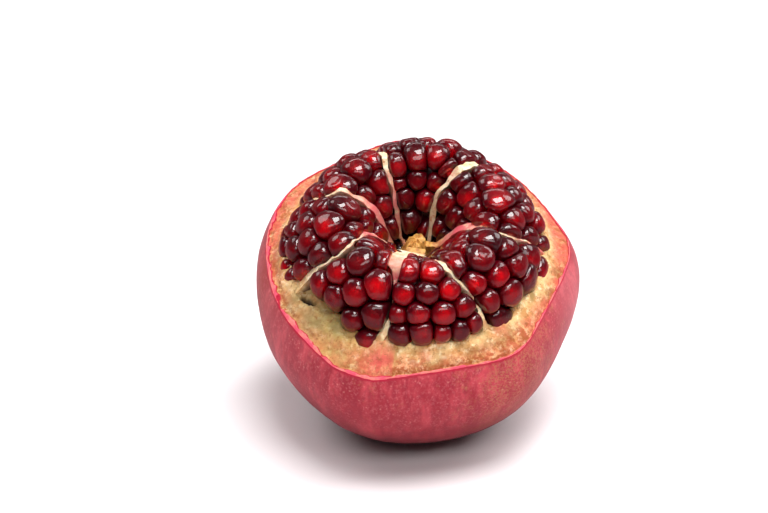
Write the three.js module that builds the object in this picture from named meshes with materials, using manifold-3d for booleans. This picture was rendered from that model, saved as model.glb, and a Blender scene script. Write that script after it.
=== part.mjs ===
// A pomegranate with its top peeled away. Millimetres, +Z up.
// The fruit leans forward on a small flat spot, so its opened top faces -Y and up.
// "Fruit frame" below means the frame of the fruit itself: origin at its middle,
// +Z along its own axis towards the opened top, angles counted from +X towards +Y.
import * as THREE from 'three';
import { mergeVertices } from 'three/addons/utils/BufferGeometryUtils.js';
import Module from 'manifold-3d';

const wasm = await Module();
wasm.setup();

// ---- Driving dimensions -------------------------------------------------------------

const BODY_RADIUS = 46.8;      // skin, at the widest girth
const LEAN = 27;               // degrees from upright, towards -Y
const REST_DEPTH = 1.6;        // how far the resting spot is pressed in
const RIM_RADIUS = 42.8;       // cut edge of the skin
const RIM_HEIGHT = 14.5;       // cut edge above the middle of the fruit
const REAR_DROP = 2.8;         // the cut edge lies lower by this much at the rear
const LEDGE_RADIUS = 36.5;     // inner end of the torn pith ledge
const LEDGE_HEIGHT = 18.4;

const DOME_RADIUS = 42;        // ball that the tips of the arils lie on
const CREST_RADIUS = 20.5;     // where the dome turns down into the hollow in its middle
const CORE_RADIUS = 4;         // column in the middle of the hollow
const CORE_HEIGHT = 15;
const CREST_ROUNDING = 2.5;
const PIT_EDGE = 5;            // brink of the pit, on the column's side
const PIT_DEPTH = 7;           // how much deeper the hollow is behind the column
const PIT_RADIUS = 14;         // where its floor begins to fall
const PIT_FLOOR = 6.5;         // where it is deepest
const PIT_SIDES = [-0.3, 0.6]; // sine of the angle where it begins, and is full
const REAR_FALL = 2.4;         // the opened top lies lower by this much at the rear
const FALL_START = 18;         // radius where that begins,
const FALL_FULL = 36;          // where it is full,
const FALL_END = 42;           // and where the cut edge's own drop has taken over
const MEMBRANE_RECESS = 1.7;   // membranes end this far below the tips of the arils

const CHAMBER_INNER = 5.2;     // radius where a chamber starts, beside the column
const BOWL_RADIUS = 41.3;      // inner wall of the chambers
const FIT_GAP = 0.3;           // between a bunch of arils and what holds it
const CORNER_ROUNDING = 2.2;   // outer corners of a chamber

const ARIL_PITCH = 6.6;        // side to side
const ROW_PITCH = 6.3;         // row to row
const ARIL_LENGTH = 8.8;       // tip to root
const ARIL_FULLNESS = 1.14;    // width of an aril over its share of the row
const ARIL_SINK = 3.7;         // its middle below the dome of the tips
const ARIL_INSET = 3.2;        // middle of the outermost ones from their chamber's wall
const ROW_STAGGER = 0.12;      // every other row is shifted by this share of an aril
const WALL_ARIL = 0.42;        // middle of an aril beside a membrane, as a share of its width
const UNEVENNESS = 0.4;        // arils stray from their rows by up to this much
const BED_SINK = 4.1;          // solid heart of the bunch below the same dome

const SCAR_RADIUS = 6.5;       // dimple at the stem end
const SCAR_DEPTH = 2.2;
const STUB_RADIUS = 2.4;
const STUB_LENGTH = 4.2;

// Flattish sides of the fruit: direction in degrees, and distance over the mean.
const SIDES = [
  [27, 0.967], [72, 1.019], [121, 0.995], [158, 1.045],
  [190, 1.005], [222, 1.023], [281, 0.981], [335, 0.965],
];
const SIDE_SHARPNESS = 14;
const FULLEST_GIRTH = 1.075;

// Each membrane runs outwards on a curve: its direction in degrees at these radii.
const STATIONS = [4, 13, 22, 31, 40];
const MEMBRANES = {
  rearLeft: { course: [126, 120, 115, 113, 112], thick: 1.0 },
  rearRight: { course: [58, 62, 49, 47, 47], thick: 1.1 },
  right: { course: [4, -9, -20, -11, -4], thick: 1.1 },
  frontRight: { course: [-77, -75, -69, -59, -58], thick: 1.0 },
  frontLeft: { course: [-101, -105, -105, -104, -107], thick: 1.5 },
  left: { course: [-178, -162, -143, -150, -157], thick: 1.1 },
  leftRear: { course: [-200, -203, -194, -198, -205], thick: 1.0 },
};

// The chambers, counter-clockwise between two membranes. Reach is the radius of the
// outer wall at the first membrane, half way and at the second one.
const CHAMBERS = [
  { name: 'arils_front', from: 'frontLeft', to: 'frontRight', reach: [36.6, 36.6, 36.8] },
  { name: 'arils_right', from: 'frontRight', to: 'right', reach: [39.2, 36.0, 39.4] },
  { name: 'arils_rear_right', from: 'right', to: 'rearRight', reach: [39.2, 37.4, 38.8] },
  { name: 'arils_rear', from: 'rearRight', to: 'rearLeft', reach: [39.0, 40.0, 39.2] },
  { name: 'arils_rear_left', from: 'rearLeft', to: 'leftRear', reach: [39.0, 37.6, 38.6] },
  { name: 'arils_left', from: 'leftRear', to: 'left', reach: [39.6, 39.0, 38.6] },
  { name: 'arils_front_left', from: 'left', to: 'frontLeft', reach: [35.4, 35.2, 39.4] },
];

// How finely the surfaces are cut into facets: rings of the opened top and of the
// hearts of the bunches, then counts of segments and steps.
const TOP_RADII = [0, 2.6, 4.6, 6, 10, 15.5, 18.2, 20.4, 22.8, 26, 29.5, 33, 36, 39.4];
const BED_RADII = [0, 4, 7, 10, 13, 17.5, 20, 23, 29, 34];
const BODY_SEGMENTS = 48;
const BOWL_SEGMENTS = 24;
const SKIN_STEPS = 12;
const WALL_STEPS = 7;
const ARC_STEPS = 8;
const BOWL_STEPS = 6;
const ARIL_SIDES = 6;
const ARIL_RINGS = 4;
const STUB_SIDES = 9;

const COLOURS = { rind: '#c2485a', arils: '#6d0a1c' };

// ---- Small helpers ------------------------------------------------------------------

const rad = THREE.MathUtils.degToRad;
const clamp01 = (x) => THREE.MathUtils.clamp(x, 0, 1);

// Value at x of a smooth curve through the values at the stations.
function through(stations, values, x) {
  const last = stations.length - 1;
  let i = 0;
  while (i < last - 1 && x > stations[i + 1]) i += 1;
  const u = clamp01((x - stations[i]) / (stations[i + 1] - stations[i]));
  const before = values[Math.max(i - 1, 0)];
  const after = values[Math.min(i + 2, last)];
  const slopeIn = (values[i + 1] - before) / 2;
  const slopeOut = (after - values[i]) / 2;
  const rise = values[i + 1] - values[i];
  return values[i] + u * (slopeIn + u * (3 * rise - 2 * slopeIn - slopeOut
    + u * (slopeIn + slopeOut - 2 * rise)));
}

// A repeatable draw from -1 to 1 for a counting number.
function jitter(count) {
  const x = Math.sin(count * 12.9898 + 4.1414) * 43758.5453;
  return 2 * (x - Math.floor(x)) - 1;
}

function softMin(a, b, width) {
  return -width * Math.log(Math.exp(-a / width) + Math.exp(-b / width));
}

// ---- Form of the fruit, in the fruit frame ------------------------------------------

// Girth at an angle over the mean girth.
function girth(angle) {
  let sum = 0;
  for (const [direction, distance] of SIDES) {
    const facing = Math.max(Math.cos(angle - rad(direction)), 0);
    sum += (facing / distance) ** SIDE_SHARPNESS;
  }
  return Math.min(sum ** (-1 / SIDE_SHARPNESS), FULLEST_GIRTH);
}

// Height of the opened top at a radius, lowered by an inset square to its surface.
function topHeight(radius, inset) {
  const ball = DOME_RADIUS - inset;
  const dome = Math.sqrt(Math.max(ball ** 2 - radius ** 2, 0));
  const crest = Math.sqrt(DOME_RADIUS ** 2 - CREST_RADIUS ** 2);
  const steepness = (crest - CORE_HEIGHT) / (CREST_RADIUS - CORE_RADIUS);
  const along = Math.max(radius - CORE_RADIUS, 0);
  const hollow = CORE_HEIGHT + along * steepness - inset * Math.hypot(1, steepness);
  return softMin(dome, hollow, CREST_ROUNDING);
}

function eased(u) {
  return u * u * (3 - 2 * u);
}

// How much lower the opened top lies, behind the column, than the same radius in front.
function pitDepth(radius, angle) {
  const inwards = clamp01((PIT_RADIUS - radius) / (PIT_RADIUS - PIT_FLOOR));
  const behind = clamp01((Math.sin(angle) - PIT_SIDES[0]) / (PIT_SIDES[1] - PIT_SIDES[0]));
  return PIT_DEPTH * eased(inwards) * eased(behind);
}

// How much lower the opened top lies at the rear than the same radius in front.
function rearFall(radius, angle) {
  const inside = clamp01((radius - FALL_START) / (FALL_FULL - FALL_START));
  const outside = clamp01((FALL_END - radius) / (FALL_END - FALL_FULL));
  return REAR_FALL * Math.sqrt(Math.max(Math.sin(angle), 0)) * eased(inside) * outside;
}

function topDrop(radius, angle) {
  return pitDepth(radius, angle) + rearFall(radius, angle);
}

// Lowers a point on or under the opened top, beside the column, by the top's own drop.
function lowered(p) {
  const radius = Math.hypot(p.x, p.y);
  if (p.z > 0 && radius > PIT_EDGE) p.z -= topDrop(radius, Math.atan2(p.y, p.x));
}

function ledgeHeight(radius) {
  const u = clamp01((RIM_RADIUS - radius) / (RIM_RADIUS - LEDGE_RADIUS));
  return RIM_HEIGHT + u * (LEDGE_HEIGHT - RIM_HEIGHT);
}

// Top of the membranes and of the pith ledge round them.
function rindTop(radius) {
  const webs = topHeight(radius, MEMBRANE_RECESS);
  return radius < CREST_RADIUS ? webs : -softMin(-webs, -ledgeHeight(radius), 0.8);
}

// The skin's distance from the middle of the fruit, at a polar angle from the axis.
function skinRadius(polar) {
  const rimPolar = Math.atan2(RIM_RADIUS, RIM_HEIGHT);
  const rimDistance = Math.hypot(RIM_RADIUS, RIM_HEIGHT);
  const u = clamp01((polar - rimPolar) / (Math.PI / 2 - rimPolar));
  const full = rimDistance + (BODY_RADIUS - rimDistance) * Math.sin(u * Math.PI / 2);
  const fromStem = full * Math.sin(Math.max(Math.PI - polar, 0));
  const dimple = SCAR_DEPTH * Math.exp(-((fromStem / SCAR_RADIUS) ** 2) * 1.5);
  return full - (polar > Math.PI / 2 ? dimple : 0);
}

// ---- Solids -------------------------------------------------------------------------

// three.js geometry to a manifold solid.
function solid(geometry) {
  geometry.deleteAttribute('normal');
  geometry.deleteAttribute('uv');
  const merged = mergeVertices(geometry, 1e-4);
  const index = Array.from(merged.index.array);
  const kept = [];
  for (let i = 0; i < index.length; i += 3) {
    const [a, b, c] = index.slice(i, i + 3);
    if (a !== b && b !== c && c !== a) kept.push(a, b, c);
  }
  return new wasm.Manifold(new wasm.Mesh({
    numProp: 3,
    vertProperties: new Float32Array(merged.attributes.position.array),
    triVerts: new Uint32Array(kept),
  }));
}

// The largest body of a solid, with any sealed pocket in it filled.
function oneBody(shape) {
  const pieces = shape.decompose();
  return pieces.reduce((best, piece) => (piece.volume() > best.volume() ? piece : best));
}

// A profile of [radius, height] points turned round the fruit's axis, top point first.
function turned(profile, segments) {
  const points = profile.map(([r, z]) => new THREE.Vector2(r, z)).reverse();
  return new THREE.LatheGeometry(points, segments).rotateX(Math.PI / 2);
}

// Moves every vertex of a geometry by a rule from and to fruit-frame coordinates.
function deform(geometry, rule) {
  const position = geometry.attributes.position;
  const point = new THREE.Vector3();
  for (let i = 0; i < position.count; i += 1) {
    point.fromBufferAttribute(position, i);
    rule(point);
    position.setXYZ(i, point.x, point.y, point.z);
  }
  return geometry;
}

// The whole rind before its chambers: membranes' tops, ledge, skin and stem scar.
function rindBody() {
  const profile = TOP_RADII.map((r) => [r, rindTop(r)]);
  const rimPolar = Math.atan2(RIM_RADIUS, RIM_HEIGHT);
  const scarPolar = Math.PI - SCAR_RADIUS / BODY_RADIUS;
  for (let i = 0; i <= SKIN_STEPS; i += 1) {
    const polar = rimPolar + (scarPolar - rimPolar) * (i / SKIN_STEPS);
    profile.push([skinRadius(polar) * Math.sin(polar), skinRadius(polar) * Math.cos(polar)]);
  }
  const nearStem = Math.PI - 0.5 * SCAR_RADIUS / BODY_RADIUS;
  profile.push([skinRadius(nearStem) * Math.sin(nearStem), skinRadius(nearStem) * Math.cos(nearStem)]);
  profile.push([0, -skinRadius(Math.PI)]);
  return solid(deform(turned(profile, BODY_SEGMENTS), (p) => {
    lowered(p);
    const radius = Math.hypot(p.x, p.y);
    const angle = Math.atan2(p.y, p.x);
    const edge = p.z > 0 ? clamp01((radius - 24) / (RIM_RADIUS - 24)) : 1;
    const below = clamp01((RIM_HEIGHT - p.z) / (RIM_HEIGHT + BODY_RADIUS));
    const drop = REAR_DROP * Math.max(Math.sin(angle), 0) ** 1.5 * edge ** 3 * (1 - below) ** 4;
    const scale = 1 + (girth(angle) - 1) * edge * (1 - below) ** 1.6 + 0.01 * drop;
    p.x *= scale;
    p.y *= scale;
    p.z -= drop;
  }));
}

function stemStub() {
  const stub = new THREE.CylinderGeometry(STUB_RADIUS, STUB_RADIUS * 1.15, STUB_LENGTH, STUB_SIDES);
  return solid(stub.rotateX(Math.PI / 2).translate(0, 0, -BODY_RADIUS + STUB_LENGTH / 2 - 0.2));
}

// The ground under the fruit, seen from the fruit frame.
function groundBlock() {
  const across = 2 * BODY_RADIUS;
  const block = new THREE.BoxGeometry(across, across, BODY_RADIUS);
  block.translate(0, 0, REST_DEPTH - 1.5 * BODY_RADIUS);
  return solid(block.rotateX(-rad(LEAN)));
}

// Direction of a membrane, in radians, at a radius.
function membraneAngle(membrane, radius) {
  return rad(through(STATIONS, MEMBRANES[membrane].course, radius));
}

// Angle of a place across a chamber: 0 at its first wall, 1 at its second one.
function chamberAngle(chamber, radius, across, gap) {
  const first = MEMBRANES[chamber.from].thick / 2 + gap;
  const second = MEMBRANES[chamber.to].thick / 2 + gap;
  const start = membraneAngle(chamber.from, radius) + first / radius;
  let end = membraneAngle(chamber.to, radius) - second / radius;
  if (end < start) end += 2 * Math.PI;
  return start + (end - start) * across;
}

function chamberReach(chamber, across) {
  const reach = through([0, 0.5, 1], chamber.reach, across);
  return reach - CORNER_ROUNDING * Math.abs(2 * across - 1) ** 6;
}

// A chamber as a prism along the fruit's axis, with its outline drawn in by a gap.
function chamberPrism(chamber, gap) {
  const outline = [];
  const place = (radius, across) => {
    const angle = chamberAngle(chamber, radius, across, gap);
    outline.push(new THREE.Vector2(radius * Math.cos(angle), radius * Math.sin(angle)));
  };
  const inner = CHAMBER_INNER + gap;
  const wall = (across) => {
    const outer = chamberReach(chamber, across) - gap;
    return (step) => inner + (outer - inner) * (step / WALL_STEPS);
  };
  for (let i = 0; i <= WALL_STEPS; i += 1) place(wall(0)(i), 0);
  for (let i = 1; i < ARC_STEPS; i += 1) {
    place(chamberReach(chamber, i / ARC_STEPS) - gap, i / ARC_STEPS);
  }
  for (let i = WALL_STEPS; i >= 0; i -= 1) place(wall(1)(i), 1);
  const depth = 2 * BODY_RADIUS + 4;
  const prism = new THREE.ExtrudeGeometry(new THREE.Shape(outline), { depth, bevelEnabled: false });
  return solid(prism.translate(0, 0, -depth / 2));
}

// The bowl that holds all chambers, open upwards.
function bowl(gap) {
  const radius = BOWL_RADIUS - gap;
  const profile = [[0, BODY_RADIUS], [radius, BODY_RADIUS]];
  for (let i = 0; i <= BOWL_STEPS; i += 1) {
    const angle = (i / BOWL_STEPS) * (Math.PI / 2);
    profile.push([radius * Math.cos(angle), -radius * Math.sin(angle)]);
  }
  return solid(turned(profile, BOWL_SEGMENTS));
}

// The bunches' solid heart: everything under a lowered copy of the opened top.
function bunchBed() {
  const profile = [];
  for (const r of BED_RADII) profile.push([r, topHeight(r, BED_SINK)]);
  const outside = BOWL_RADIUS + 2;
  profile.push([outside, topHeight(LEDGE_RADIUS, BED_SINK)], [outside, -BODY_RADIUS], [0, -BODY_RADIUS]);
  return solid(deform(turned(profile, BOWL_SEGMENTS), lowered));
}

// One aril: a plump drop with few sides, its tip along +Z.
function arilSolid(width, depth, turn) {
  const ball = new THREE.SphereGeometry(0.5, ARIL_SIDES, ARIL_RINGS);
  return ball.rotateX(Math.PI / 2).rotateZ(turn).scale(width, depth, ARIL_LENGTH);
}

// Lengths walked along the opened top, a step of radius at a time, where arils lie.
const WALK_STEP = 0.1;
const WALK_START = CHAMBER_INNER + 1.7;
const walked = [0];
for (let r = WALK_START; r < BOWL_RADIUS - 4; r += WALK_STEP) {
  const climb = topHeight(r + WALK_STEP, ARIL_SINK) - topHeight(r, ARIL_SINK);
  walked.push(walked.at(-1) + Math.hypot(WALK_STEP, climb));
}

// Radius reached after a fraction of the walk from the hollow out to a chamber's wall.
function walkedRadius(reach, fraction) {
  const outermost = Math.round((reach - ARIL_INSET - WALK_START) / WALK_STEP);
  const goal = walked[outermost] * fraction;
  return WALK_START + WALK_STEP * walked.findIndex((length) => length >= goal);
}

// One aril, standing square to the opened top.
function placedAril(radius, angle, width, count) {
  const sink = ARIL_SINK + UNEVENNESS * jitter(count + 0.6);
  const drop = topDrop(radius, angle);
  const fall = topDrop(radius + WALK_STEP, angle) - drop;
  const climb = topHeight(radius + WALK_STEP, ARIL_SINK) - topHeight(radius, ARIL_SINK) - fall;
  const geometry = arilSolid(width, ROW_PITCH * ARIL_FULLNESS, jitter(count) * 0.4);
  geometry.rotateY(-Math.atan2(climb, WALK_STEP)).rotateZ(angle);
  const height = topHeight(radius, sink) - drop;
  return geometry.translate(radius * Math.cos(angle), radius * Math.sin(angle), height);
}

// Every aril of a bunch: rows from the hollow outwards, each shared out side to side.
function arilsOf(chamber, seed) {
  const placed = [];
  let count = seed * 100;
  const middle = Math.round((chamberReach(chamber, 0.5) - ARIL_INSET - WALK_START) / WALK_STEP);
  const rows = Math.round(walked[middle] / ROW_PITCH);
  for (let row = 0; row <= rows; row += 1) {
    const typical = walkedRadius(chamberReach(chamber, 0.5), row / rows);
    const span = chamberAngle(chamber, typical, 1, 0) - chamberAngle(chamber, typical, 0, 0);
    const number = Math.max(Math.round((span * typical) / ARIL_PITCH), 1);
    const stagger = number > 1 ? ROW_STAGGER * (row % 2 ? 1 : -1) : 0;
    for (let i = 0; i < number; i += 1) {
      count += 1;
      const shifted = i + 0.5 + stagger + 0.1 * jitter(count);
      const across = THREE.MathUtils.clamp(shifted, WALL_ARIL, number - WALL_ARIL) / number;
      const inRow = walkedRadius(chamberReach(chamber, across), row / rows);
      const radius = inRow + UNEVENNESS * jitter(count + 0.3);
      const angle = chamberAngle(chamber, radius, across, 0);
      placed.push(placedAril(radius, angle, ((span * typical) / number) * ARIL_FULLNESS, count));
    }
  }
  return placed;
}

// ---- Sub-parts ----------------------------------------------------------------------

function rindSolid() {
  let rind = rindBody().add(stemStub());
  const hollow = bowl(0);
  for (const chamber of CHAMBERS) {
    rind = rind.subtract(chamberPrism(chamber, 0).intersect(hollow));
  }
  return oneBody(rind.subtract(groundBlock()));
}

function bunchSolid(chamber, seed) {
  let bunch = bunchBed();
  for (const geometry of arilsOf(chamber, seed)) bunch = bunch.add(solid(geometry));
  return oneBody(bunch.intersect(chamberPrism(chamber, FIT_GAP)).intersect(bowl(FIT_GAP)));
}

function named(name, shape, colour, roughness) {
  const mesh = shape.getMesh();
  const geometry = new THREE.BufferGeometry();
  geometry.setAttribute('position', new THREE.BufferAttribute(mesh.vertProperties, 3));
  geometry.setIndex(new THREE.BufferAttribute(mesh.triVerts, 1));
  geometry.computeVertexNormals();
  const material = new THREE.MeshStandardMaterial({ color: colour, roughness, metalness: 0 });
  const part = new THREE.Mesh(geometry, material);
  part.name = name;
  return part;
}

const fruit = new THREE.Group();
fruit.rotation.x = rad(LEAN);
fruit.position.z = BODY_RADIUS - REST_DEPTH;
fruit.add(named('rind', rindSolid(), COLOURS.rind, 0.5));
CHAMBERS.forEach((chamber, number) => {
  fruit.add(named(chamber.name, bunchSolid(chamber, number + 1), COLOURS.arils, 0.15));
});

const pomegranate = new THREE.Group();
pomegranate.add(fruit);

export default pomegranate;
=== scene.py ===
"""The looks of a pomegranate opened from the top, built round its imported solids.

Sizes are millimetres in the fruit's own frame: origin at its middle, +Z along its axis
towards the opened top, angles counted from +X towards +Y. to_row() turns them into
metres in the row frame.
"""

from math import atan, atan2, cos, exp, hypot, pi, radians, sin, sqrt

import bmesh
import bpy
import numpy as np
from mathutils import Matrix, Vector


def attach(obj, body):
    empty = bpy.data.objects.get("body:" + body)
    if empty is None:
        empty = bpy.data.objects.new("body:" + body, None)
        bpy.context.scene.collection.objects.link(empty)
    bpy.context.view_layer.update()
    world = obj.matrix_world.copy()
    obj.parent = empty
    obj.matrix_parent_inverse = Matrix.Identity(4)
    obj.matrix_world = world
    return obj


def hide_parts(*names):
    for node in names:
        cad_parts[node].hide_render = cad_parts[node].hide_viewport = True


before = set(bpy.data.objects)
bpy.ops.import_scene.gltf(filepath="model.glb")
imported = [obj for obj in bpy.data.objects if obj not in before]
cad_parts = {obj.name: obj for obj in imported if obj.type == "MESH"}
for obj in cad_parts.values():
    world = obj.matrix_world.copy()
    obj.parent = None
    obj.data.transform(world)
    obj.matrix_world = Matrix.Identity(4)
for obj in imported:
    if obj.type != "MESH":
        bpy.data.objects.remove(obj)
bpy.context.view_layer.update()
scene = bpy.context.scene

# ---- Driving dimensions, the same as the solids' ----

MM = 0.001
BODY_RADIUS = 46.8  # skin, at the widest girth
LEAN = radians(27)  # from upright, towards -Y
REST_DEPTH = 1.6  # how far the resting spot is pressed in
RIM_RADIUS = 42.8  # cut edge of the skin
RIM_HEIGHT = 14.5
REAR_DROP = 2.8
LEDGE_RADIUS = 36.5  # inner end of the torn pith ledge
LEDGE_HEIGHT = 18.4
DOME_RADIUS = 42  # ball that the tips of the arils lie on
CREST_RADIUS = 20.5  # where the dome turns down into the hollow
CORE_RADIUS = 4
CORE_HEIGHT = 15
CREST_ROUNDING = 2.5
PIT_EDGE = 5  # brink of the pit behind the column
PIT_DEPTH = 7
PIT_RADIUS = 14  # where its floor begins to fall
PIT_FLOOR = 6.5  # where it is deepest
PIT_SIDES = (-0.3, 0.6)  # sine of the angle where it begins, and is full
REAR_FALL = 2.4  # the opened top lies lower by this much at the rear
FALL_START = 18  # radius where that begins,
FALL_FULL = 36  # where it is full,
FALL_END = 42  # and where the cut edge's own drop has taken over
MEMBRANE_RECESS = 1.7
CHAMBER_INNER = 5.2
BOWL_RADIUS = 41.3
CORNER_ROUNDING = 2.2
ARIL_SINK = 3.7
ARIL_INSET = 3.2
ROW_STAGGER = 0.12
WALL_ARIL = 0.42
UNEVENNESS = 0.4
BED_SINK = 5.2
SCAR_RADIUS = 6.5
SCAR_DEPTH = 2.2
STUB_RADIUS = 2.4
STUB_LENGTH = 4.2
SIDES = (
    (27, 0.967), (50, 1.01), (72, 1.019), (121, 0.995), (158, 1.045),
    (190, 1.005), (222, 1.023), (281, 0.981), (335, 0.965),
)
SIDE_SHARPNESS = 14
FULLEST_GIRTH = 1.075
# Of each membrane: its course at the stations and its thickness, as in the solids, and then, at
# the web stations, its real thickness, how far it stands over the even top and how rosy it is.
STATIONS = (4, 13, 22, 31, 40)
WEB_STATIONS = (4, 13, 19, 25, 31, 36)
COURSE, THICK, WIDTH, RISE, ROSY = range(5)
MEMBRANES = {
    "rearLeft": ((126, 120, 115, 113, 112), 1, (1, 1.5, 1.1, 2, 1, 1.2),
        (1.4, 1.6, 0.3, 0.2, 0, 0), (0.4, 0.7, 0.1, 0.1, 0.3, 0.8)),
    "rearRight": ((58, 62, 49, 47, 47), 1.1, (1, 1.4, 2.4, 1.6, 1.1, 1.2),
        (1.4, 1.6, 0.2, -0.2, 0, 0), (0.3, 0.2, 0.05, 0.1, 0.4, 0.9)),
    "right": ((4, -9, -20, -11, -4), 1.1, (1.8, 2.4, 1.1, 0.8, 0.9, 1.3),
        (5, 3.4, 0.2, 0, 0, 0), (0.8, 1, 0.15, 0.05, 0.6, 1)),
    "frontRight": ((-77, -75, -69, -59, -58), 1, (1.2, 1.4, 1.2, 0.9, 1.1, 3.6),
        (1.6, 1.6, 0.4, -0.8, -1.2, -0.2), (0.6, 0.5, 0.2, 0.05, 0, 0)),
    "frontLeft": ((-101, -105, -105, -104, -107), 1.5, (5, 6, 4.6, 0.3, 0.4, 3.4),
        (7, 4.7, 1.8, -3.2, -2.6, -0.1), (0, 0, 0.6, 1, 0, 0)),
    "left": ((-178, -162, -143, -150, -157), 1.1, (1.2, 1.5, 0.8, 0.7, 1.6, 4.4),
        (2, 2.6, 1, 0.5, 0.1, 0), (0.3, 0.9, 0.3, 0, 0, 0)),
    "leftRear": ((-200, -203, -194, -198, -205), 1, (1.2, 2, 1.5, 1, 0.9, 1.3),
        (2, 3, 2, 0.6, 0.4, 0), (0.2, 1, 0.4, 0.1, 0, 0.1)),
}
CHAMBERS = [dict(zip(("name", "pitch", "from", "to", "reach"), row)) for row in (
    ("arils_front", 5.7, "frontLeft", "frontRight", (36.6, 36.6, 36.8)),
    ("arils_right", 6.4, "frontRight", "right", (39.2, 36, 39.4)),
    ("arils_rear_right", 5.7, "right", "rearRight", (38.8, 34.6, 36.4)),
    ("arils_rear", 5.7, "rearRight", "rearLeft", (39, 40, 39.2)),
    ("arils_rear_left", 5.8, "rearLeft", "leftRear", (39, 37.6, 38.6)),
    ("arils_left", 6.3, "leftRear", "left", (39.6, 39, 38.6)),
    ("arils_front_left", 6.4, "left", "frontLeft", (35.4, 35.2, 39.4)),
)]

# ---- Form ----


def to_row(points):
    """Fruit-frame millimetres to row-frame metres."""
    x, y, z = np.moveaxis(np.asarray(points, float), -1, 0)
    lean_cos, lean_sin = cos(LEAN), sin(LEAN)
    lift = BODY_RADIUS - REST_DEPTH
    return np.stack([x, y * lean_cos - z * lean_sin, y * lean_sin + z * lean_cos + lift], -1) * MM


def through(stations, values, x):
    """Value at x of a smooth curve through the values at the stations."""
    stations, values = np.asarray(stations, float), np.asarray(values, float)
    last = len(stations) - 1
    i = np.clip(np.searchsorted(stations, x, side="left") - 1, 0, last - 1)
    u = np.clip((x - stations[i]) / (stations[i + 1] - stations[i]), 0, 1)
    slope_in = (values[i + 1] - values[np.maximum(i - 1, 0)]) / 2
    slope_out = (values[np.minimum(i + 2, last)] - values[i]) / 2
    rise = values[i + 1] - values[i]
    cubic = slope_in + slope_out - 2 * rise
    return values[i] + u * (slope_in + u * (3 * rise - 2 * slope_in - slope_out + u * cubic))


def jitter(count):
    """A repeatable draw from -1 to 1 for a counting number."""
    x = np.sin(count * 12.9898 + 4.1414) * 43758.5453
    return 2 * (x - np.floor(x)) - 1


def kinked(along, size, seed):
    """A jagged course from -1 to 1 along a length; size is from one bend to the next."""
    cell = np.floor(along / size)
    u = along / size - cell
    return (1 - u) * jitter(cell + seed * 17.3) + u * jitter(cell + 1 + seed * 17.3)


def soft_min(a, b, width):
    return -width * np.log(np.exp(-a / width) + np.exp(-b / width))


def smooth(low, high, x):
    u = np.clip((x - low) / (high - low), 0, 1)
    return u * u * (3 - 2 * u)


def bell(distance, width):
    return np.exp(-(distance / width) ** 2)


def heading(angle):
    return np.array([cos(angle), sin(angle)])


def degrees_off(angle, degrees):
    """How far angles lie from a direction, either way round, in degrees."""
    return np.degrees(np.angle(np.exp(1j * (angle - radians(degrees)))))


def round_angles(count):
    return np.arange(count) / count * 2 * pi


def at(radius, angle, height):
    """Places at a radius and an angle round the axis."""
    return np.stack(np.broadcast_arrays(radius * np.cos(angle), radius * np.sin(angle), height), -1)


def noise(points, size, seed):
    """Smooth value noise from -1 to 1 at points in millimetres; size is one lump's width."""
    p = np.asarray(points, float) / size
    cell = np.floor(p).astype(np.int64)
    u = p - cell
    u = u * u * (3 - 2 * u)
    total = 0
    for dx, dy, dz in np.ndindex(2, 2, 2):
        key = (cell[..., 0] + dx) * 73856093 ^ (cell[..., 1] + dy) * 19349663
        key = (key ^ (cell[..., 2] + dz) * 83492791 ^ seed * 2654435761) & 0xFFFFFFFF
        key = (key ^ (key >> 13)) * 1274126177 & 0xFFFFFFFF
        value = (key ^ (key >> 16)) / 0xFFFFFFFF * 2 - 1
        share = np.abs(1 - dx - u[..., 0]) * np.abs(1 - dy - u[..., 1])
        total = total + value * share * np.abs(1 - dz - u[..., 2])
    return total


def layered(kind, places, layers, number=0, total=0):
    """Layers of noise or kinks added up, each with a height, a size and a seed."""
    for height, size, seed in layers:
        total = total + height * kind(places, size, seed + number)
    return total


def girth(angle):
    """Girth at an angle over the mean girth."""
    total = 0
    for direction, distance in SIDES:
        facing = np.maximum(np.cos(angle - radians(direction)), 0)
        total = total + (facing / distance) ** SIDE_SHARPNESS
    return np.minimum(total ** (-1 / SIDE_SHARPNESS), FULLEST_GIRTH)


def top_height(radius, inset):
    """Height of the opened top at a radius, lowered by an inset square to its surface."""
    dome = np.sqrt(np.maximum((DOME_RADIUS - inset) ** 2 - radius ** 2, 0))
    crest = sqrt(DOME_RADIUS ** 2 - CREST_RADIUS ** 2)
    steepness = (crest - CORE_HEIGHT) / (CREST_RADIUS - CORE_RADIUS)
    along = np.maximum(radius - CORE_RADIUS, 0)
    hollow = CORE_HEIGHT + along * steepness - inset * hypot(1, steepness)
    return soft_min(dome, hollow, CREST_ROUNDING)


def pit_depth(radius, angle):
    """How much lower the opened top lies, behind the column, than in front of it."""
    return PIT_DEPTH * smooth(PIT_RADIUS, PIT_FLOOR, radius) * smooth(*PIT_SIDES, np.sin(angle))


def top_drop(radius, angle):
    """How much lower the opened top lies at a place than at the same radius in front."""
    rear = REAR_FALL * np.sqrt(np.maximum(np.sin(angle), 0)) * smooth(FALL_START, FALL_FULL, radius)
    fading = np.clip((FALL_END - radius) / (FALL_END - FALL_FULL), 0, 1)
    return pit_depth(radius, angle) + rear * fading


def rind_top(radius):
    """Top of the membranes and of the pith ledge round them."""
    webs = top_height(radius, MEMBRANE_RECESS)
    u = np.clip((RIM_RADIUS - radius) / (RIM_RADIUS - LEDGE_RADIUS), 0, 1)
    ledge = RIM_HEIGHT + u * (LEDGE_HEIGHT - RIM_HEIGHT)
    return np.where(radius < CREST_RADIUS, webs, -soft_min(-webs, -ledge, 0.8))


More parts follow.
